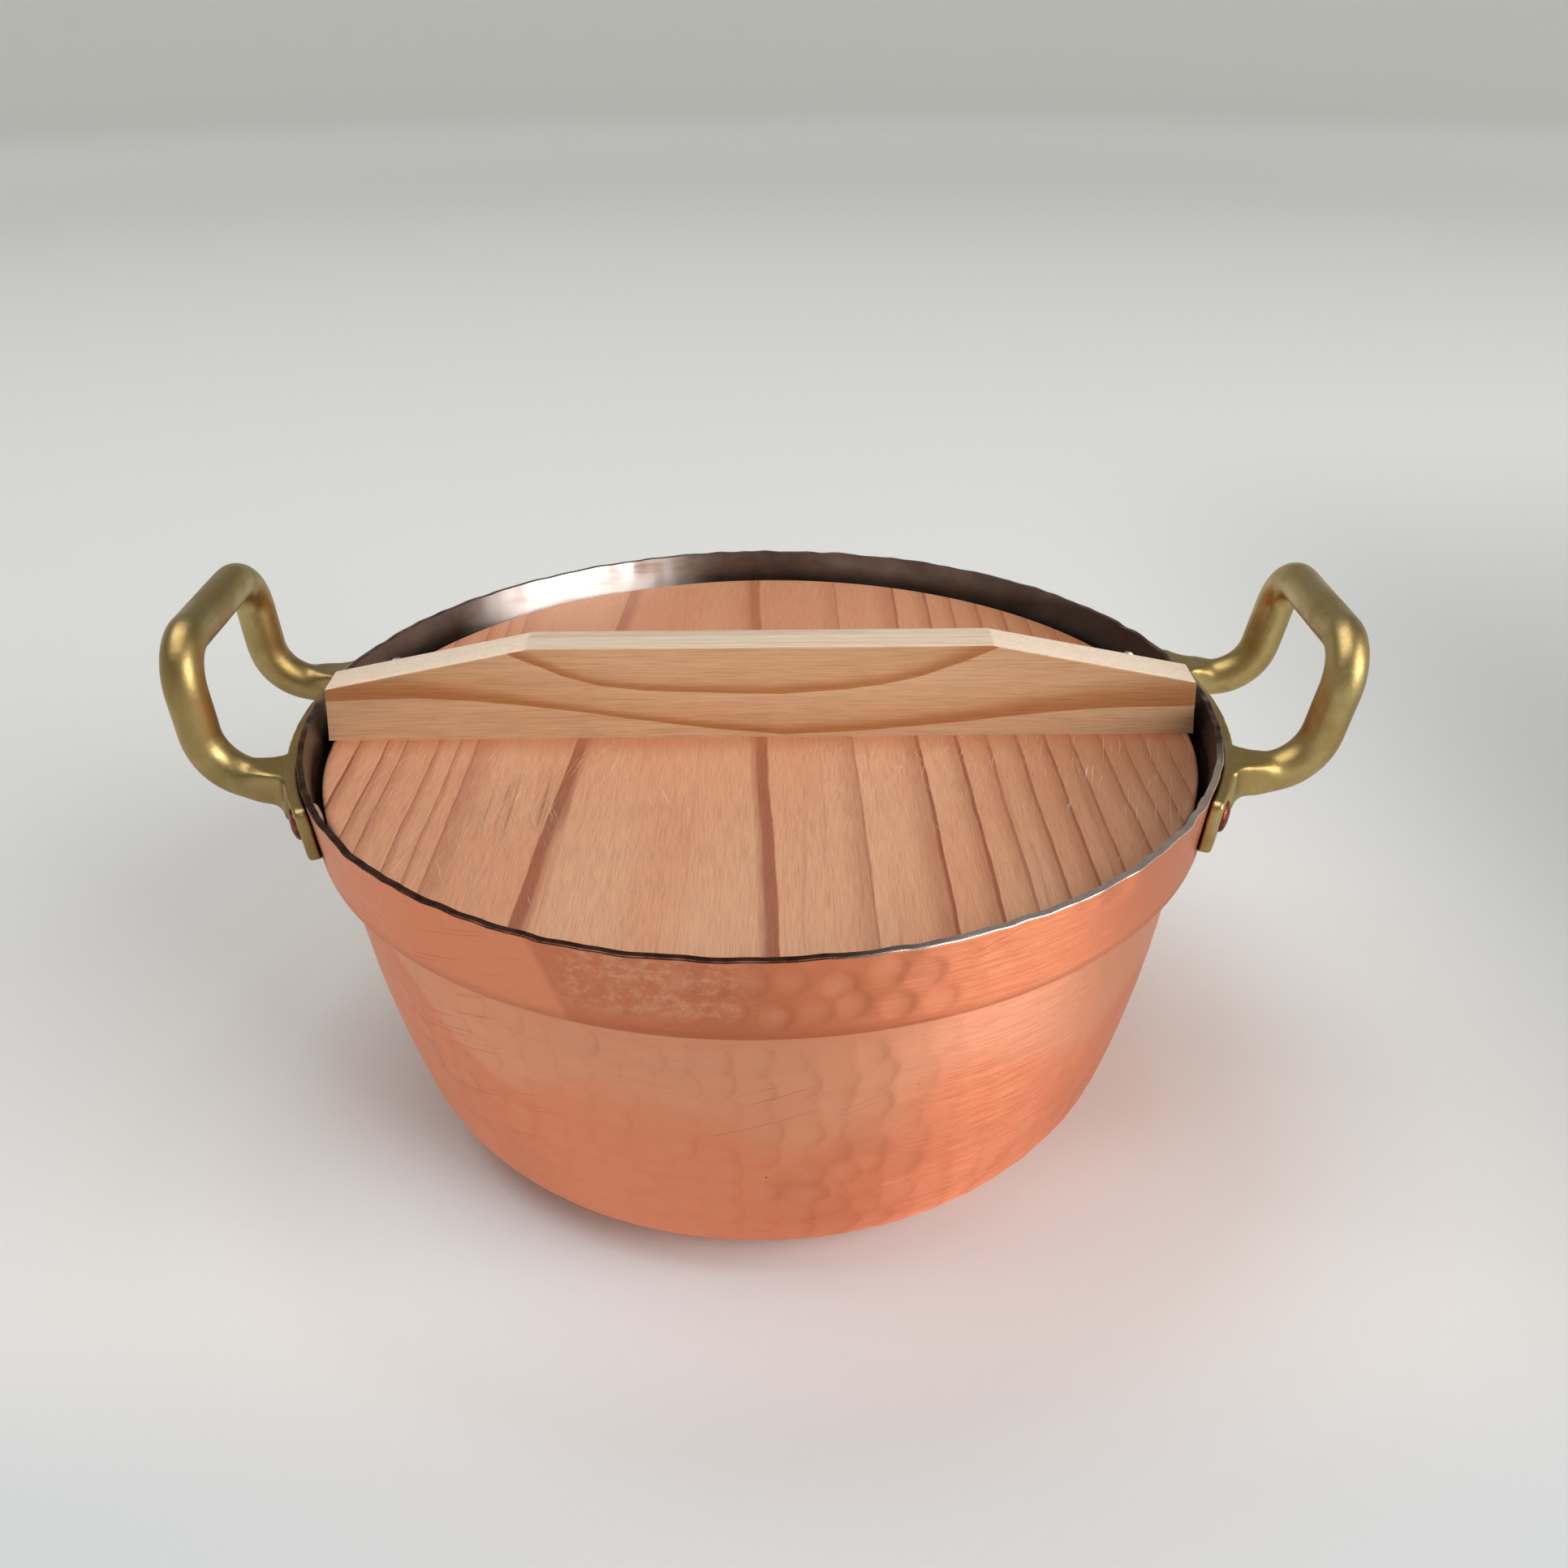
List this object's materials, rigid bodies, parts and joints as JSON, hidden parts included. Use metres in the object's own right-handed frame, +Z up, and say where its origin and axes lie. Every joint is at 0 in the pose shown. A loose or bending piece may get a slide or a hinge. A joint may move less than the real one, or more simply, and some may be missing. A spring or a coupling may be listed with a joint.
{
  "type": "two-handled pot with drop lid",
  "caption": "Stepped hammered copper pot, tin lined, with fixed brass loop handles and a round wooden drop lid that rests on a ledge inside the rim.",
  "frame": {"origin": "middle of the flat base, on the table", "axes": "+Z up; +X through the middles of both handles and along the lid's bar; +Y to the rear"},
  "size_m": [0.2538, 0.2028, 0.122],
  "materials": {
    "copper": "hammered copper, satin",
    "tin": "wiped tin, dull",
    "brass": "cast brass, satin",
    "lid_wood": "bare softwood, sanded",
    "bar_wood": "bare softwood, planed"
  },
  "bodies": {
    "pot": {"pot_body": "copper", "tin_lining": "tin", "handle_left": "brass", "handle_right": "brass", "rivet_left_front": "copper", "rivet_left_rear": "copper", "rivet_right_front": "copper", "rivet_right_rear": "copper"},
    "lid": {"lid_board": "lid_wood", "lid_bar": "bar_wood"}
  },
  "joints": [
    {"name": "lid_lift", "type": "slide", "parent": "pot", "child": "lid", "axis": [0, 0, 1], "range_m": [0, 0.15]}
  ]
}
